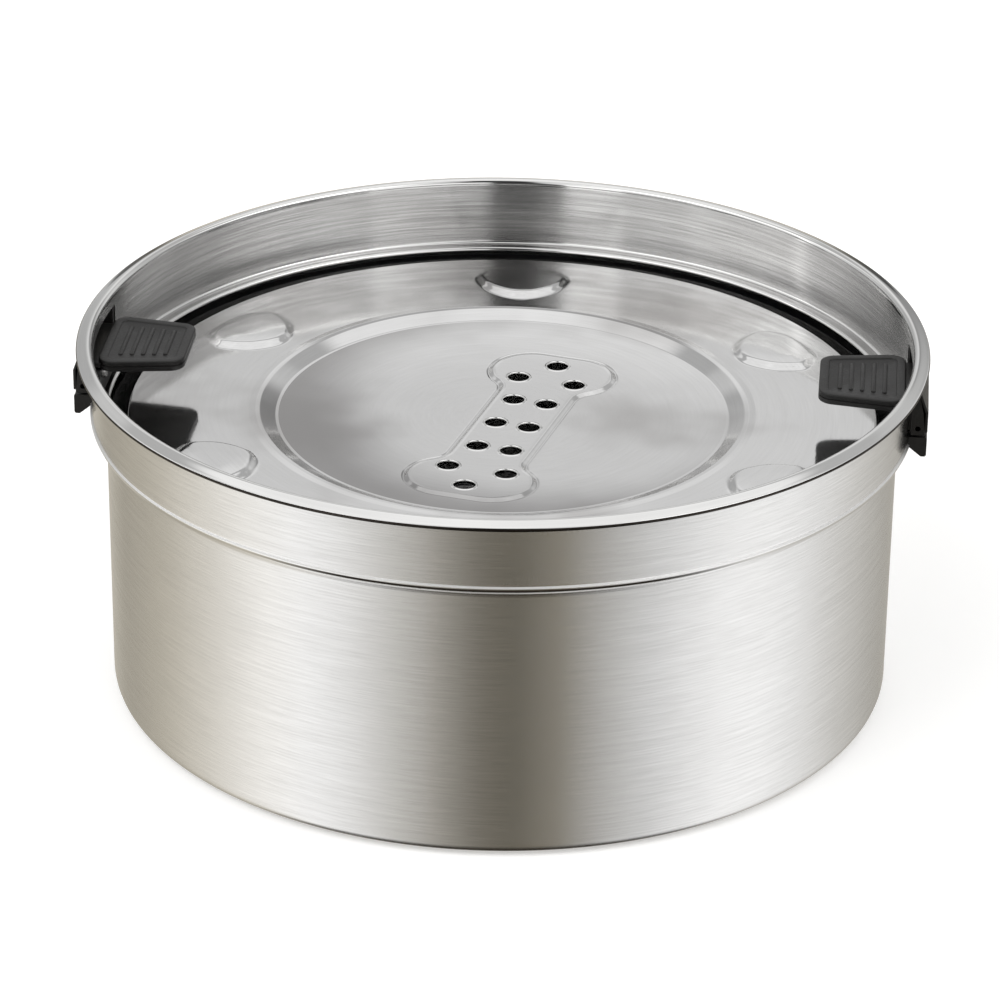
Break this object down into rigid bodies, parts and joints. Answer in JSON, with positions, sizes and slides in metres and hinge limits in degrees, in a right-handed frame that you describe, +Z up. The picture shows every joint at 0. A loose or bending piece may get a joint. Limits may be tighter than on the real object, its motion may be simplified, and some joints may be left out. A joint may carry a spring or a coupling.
{
  "type": "no-spill water bowl",
  "caption": "Round steel water bowl for pets, with a floating disk that has drinking holes in a raised bone outline, and sprung side clips that hold the disk in.",
  "frame": {"origin": "centre of the base, on the floor under the rubber ring", "axes": "+Z up the bowl's axis, +X through the middle of the right-hand clip, and -Y towards the viewer"},
  "size_m": [0.25, 0.25, 0.109],
  "materials": {
    "bowl_steel": "stainless sheet, fine satin brushing round the wall",
    "disk_steel": "stainless sheet, bright polished",
    "base_rubber": "matt moulded",
    "float_plastic": "fine moulded grain",
    "seal_rubber": "soft, matt",
    "clip_plastic": "fine moulded grain",
    "clip_steel": "bright drawn wire"
  },
  "bodies": {
    "bowl": {"bowl_shell": "bowl_steel", "base_ring": "base_rubber", "bracket_right": "clip_plastic", "retainer_right": "clip_plastic", "clamp_screws_right": "clip_steel", "spring_right": "clip_steel", "bracket_left": "clip_plastic", "retainer_left": "clip_plastic", "clamp_screws_left": "clip_steel", "spring_left": "clip_steel"},
    "float": {"float_disk": "disk_steel", "float_tray": "float_plastic", "float_seal_outer": "seal_rubber", "float_seal_inner": "seal_rubber"},
    "lever_right": {"lever_right": "clip_plastic", "hinge_pin_right": "clip_steel"},
    "lever_left": {"lever_left": "clip_plastic", "hinge_pin_left": "clip_steel"}
  },
  "joints": [
    {"name": "float_rise", "type": "slide", "parent": "bowl", "child": "float", "axis": [0, 0, 1], "range_m": [-0.0641, 0.012], "stiffness_N_per_m": 180, "springref_m": 0.0119},
    {"name": "lever_right_hinge", "type": "hinge", "parent": "bowl", "child": "lever_right", "pos_m": [0.1222, 0, 0.0926], "axis": [0, 1, 0], "range_deg": [0, 28], "stiffness_Nm_per_rad": 0.03, "springref_deg": -34.38, "deforming": ["spring_right"]},
    {"name": "lever_left_hinge", "type": "hinge", "parent": "bowl", "child": "lever_left", "pos_m": [-0.1222, 0, 0.0926], "axis": [0, -1, 0], "range_deg": [0, 28], "stiffness_Nm_per_rad": 0.03, "springref_deg": -34.38, "deforming": ["spring_left"]}
  ]
}
